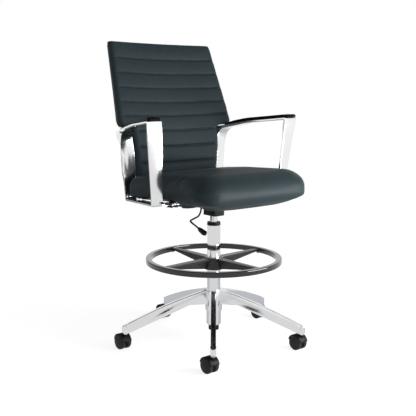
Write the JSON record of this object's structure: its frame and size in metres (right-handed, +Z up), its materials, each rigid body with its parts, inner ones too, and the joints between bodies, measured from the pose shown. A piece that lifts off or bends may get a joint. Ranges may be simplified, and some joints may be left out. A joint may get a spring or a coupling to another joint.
{
  "type": "drafting chair",
  "caption": "Tall drafting chair with channelled back, waterfall seat, closed-loop metal arms, foot ring, gas lift and castor base.",
  "frame": {"origin": "on the floor, under the axis of the column", "axes": "+Z up, the sitter faces -Y, +X to the sitter's left, so the arm named left is at -X (seen from the front) and the arm named right at +X"},
  "size_m": [0.7035, 0.6894, 1.1279],
  "materials": {
    "polished_aluminium": "polished",
    "chromed_steel": "mirror",
    "steel": "satin",
    "black_steel": "satin",
    "ring_paint": "satin",
    "spider_paint": "satin",
    "black_plastic": "fine grain",
    "wheel_plastic": "satin",
    "pad_rubber": "fine grain",
    "plywood": "plain",
    "slate_leather": "grained"
  },
  "bodies": {
    "base": {"base_casting": "polished_aluminium", "column_tube": "chromed_steel", "column_bush": "black_plastic", "column_foot": "black_plastic", "thrust_bearing": "steel", "castor_stem_1": "steel", "castor_stem_2": "steel", "castor_stem_3": "steel", "castor_stem_4": "steel", "castor_stem_5": "steel"},
    "swivel": {"piston_rod": "chromed_steel", "rod_clip": "steel"},
    "lift": {"gas_cylinder": "chromed_steel", "mechanism_housing": "black_steel", "tilt_pin": "steel", "tilt_springs": "steel", "lever_pin": "steel"},
    "lever": {"height_lever": "black_steel", "lever_paddle": "black_plastic"},
    "button": {"release_button": "steel"},
    "footring": {"footring_rim": "ring_paint", "footring_spider": "spider_paint", "footring_bolts": "steel"},
    "tilt": {"seat_plate": "black_steel", "seat_pan": "plywood", "seat_cushion": "slate_leather", "seat_bolts": "steel", "back_bar": "black_steel", "back_shell": "black_plastic", "back_cushion": "slate_leather", "back_bolts": "steel", "arm_bracket_left": "black_steel", "arm_bracket_right": "black_steel", "arm_frame_left": "polished_aluminium", "arm_frame_right": "polished_aluminium", "arm_pad_left": "pad_rubber", "arm_pad_right": "pad_rubber", "arm_bolts": "steel"},
    "castor_1": {"castor_hood_1": "black_plastic", "castor_axle_1": "steel"},
    "wheel_left_1": {"wheel_left_1": "wheel_plastic"},
    "wheel_right_1": {"wheel_right_1": "wheel_plastic"},
    "castor_2": {"castor_hood_2": "black_plastic", "castor_axle_2": "steel"},
    "wheel_left_2": {"wheel_left_2": "wheel_plastic"},
    "wheel_right_2": {"wheel_right_2": "wheel_plastic"},
    "castor_3": {"castor_hood_3": "black_plastic", "castor_axle_3": "steel"},
    "wheel_left_3": {"wheel_left_3": "wheel_plastic"},
    "wheel_right_3": {"wheel_right_3": "wheel_plastic"},
    "castor_4": {"castor_hood_4": "black_plastic", "castor_axle_4": "steel"},
    "wheel_left_4": {"wheel_left_4": "wheel_plastic"},
    "wheel_right_4": {"wheel_right_4": "wheel_plastic"},
    "castor_5": {"castor_hood_5": "black_plastic", "castor_axle_5": "steel"},
    "wheel_left_5": {"wheel_left_5": "wheel_plastic"},
    "wheel_right_5": {"wheel_right_5": "wheel_plastic"}
  },
  "joints": [
    {"name": "column_swivel", "type": "hinge", "parent": "base", "child": "swivel", "pos_m": [0, 0, 0.1], "axis": [0, 0, 1], "continuous": true},
    {"name": "height_slide", "type": "slide", "parent": "swivel", "child": "lift", "axis": [0, 0, 1], "range_m": [0, 0.25]},
    {"name": "tilt_hinge", "type": "hinge", "parent": "lift", "child": "tilt", "pos_m": [0, -0.07, 0.542], "axis": [-1, 0, 0], "range_deg": [0, 10], "stiffness_Nm_per_rad": 330, "springref_deg": -6.88},
    {"name": "lever_hinge", "type": "hinge", "parent": "lift", "child": "lever", "pos_m": [-0.041, 0, 0.5365], "axis": [0, 1, 0], "range_deg": [0, 5], "stiffness_Nm_per_rad": 2, "springref_deg": -5.73},
    {"name": "button_slide", "type": "slide", "parent": "lift", "child": "button", "axis": [0, 0, -1], "range_m": [0, 0.0041]},
    {"name": "footring_slide", "type": "slide", "parent": "base", "child": "footring", "axis": [0, 0, 1], "range_m": [-0.07, 0.1]},
    {"name": "castor_swivel_1", "type": "hinge", "parent": "base", "child": "castor_1", "pos_m": [0.3299, 0.08225, 0.06], "axis": [0, 0, 1], "continuous": true},
    {"name": "wheel_left_spin_1", "type": "hinge", "parent": "castor_1", "child": "wheel_left_1", "pos_m": [0.3299, 0.10125, 0.0275], "axis": [1, 0, 0], "continuous": true},
    {"name": "wheel_right_spin_1", "type": "hinge", "parent": "castor_1", "child": "wheel_right_1", "pos_m": [0.3299, 0.10125, 0.0275], "axis": [1, 0, 0], "continuous": true},
    {"name": "castor_swivel_2", "type": "hinge", "parent": "base", "child": "castor_2", "pos_m": [0.02372, 0.33917, 0.06], "axis": [0, 0, 1], "continuous": true},
    {"name": "wheel_left_spin_2", "type": "hinge", "parent": "castor_2", "child": "wheel_left_2", "pos_m": [0.02372, 0.35817, 0.0275], "axis": [1, 0, 0], "continuous": true},
    {"name": "wheel_right_spin_2", "type": "hinge", "parent": "castor_2", "child": "wheel_right_2", "pos_m": [0.02372, 0.35817, 0.0275], "axis": [1, 0, 0], "continuous": true},
    {"name": "castor_swivel_3", "type": "hinge", "parent": "base", "child": "castor_3", "pos_m": [-0.31524, 0.12737, 0.06], "axis": [0, 0, 1], "continuous": true},
    {"name": "wheel_left_spin_3", "type": "hinge", "parent": "castor_3", "child": "wheel_left_3", "pos_m": [-0.31524, 0.14637, 0.0275], "axis": [1, 0, 0], "continuous": true},
    {"name": "wheel_right_spin_3", "type": "hinge", "parent": "castor_3", "child": "wheel_right_3", "pos_m": [-0.31524, 0.14637, 0.0275], "axis": [1, 0, 0], "continuous": true},
    {"name": "castor_swivel_4", "type": "hinge", "parent": "base", "child": "castor_4", "pos_m": [-0.21855, -0.26045, 0.06], "axis": [0, 0, 1], "continuous": true},
    {"name": "wheel_left_spin_4", "type": "hinge", "parent": "castor_4", "child": "wheel_left_4", "pos_m": [-0.21855, -0.24146, 0.0275], "axis": [1, 0, 0], "continuous": true},
    {"name": "wheel_right_spin_4", "type": "hinge", "parent": "castor_4", "child": "wheel_right_4", "pos_m": [-0.21855, -0.24146, 0.0275], "axis": [1, 0, 0], "continuous": true},
    {"name": "castor_swivel_5", "type": "hinge", "parent": "base", "child": "castor_5", "pos_m": [0.18017, -0.28834, 0.06], "axis": [0, 0, 1], "continuous": true},
    {"name": "wheel_left_spin_5", "type": "hinge", "parent": "castor_5", "child": "wheel_left_5", "pos_m": [0.18017, -0.26934, 0.0275], "axis": [1, 0, 0], "continuous": true},
    {"name": "wheel_right_spin_5", "type": "hinge", "parent": "castor_5", "child": "wheel_right_5", "pos_m": [0.18017, -0.26934, 0.0275], "axis": [1, 0, 0], "continuous": true}
  ],
  "couplings": [
    {"joint": "button_slide", "follows": "lever_hinge", "m_per_rad": 0.045}
  ]
}
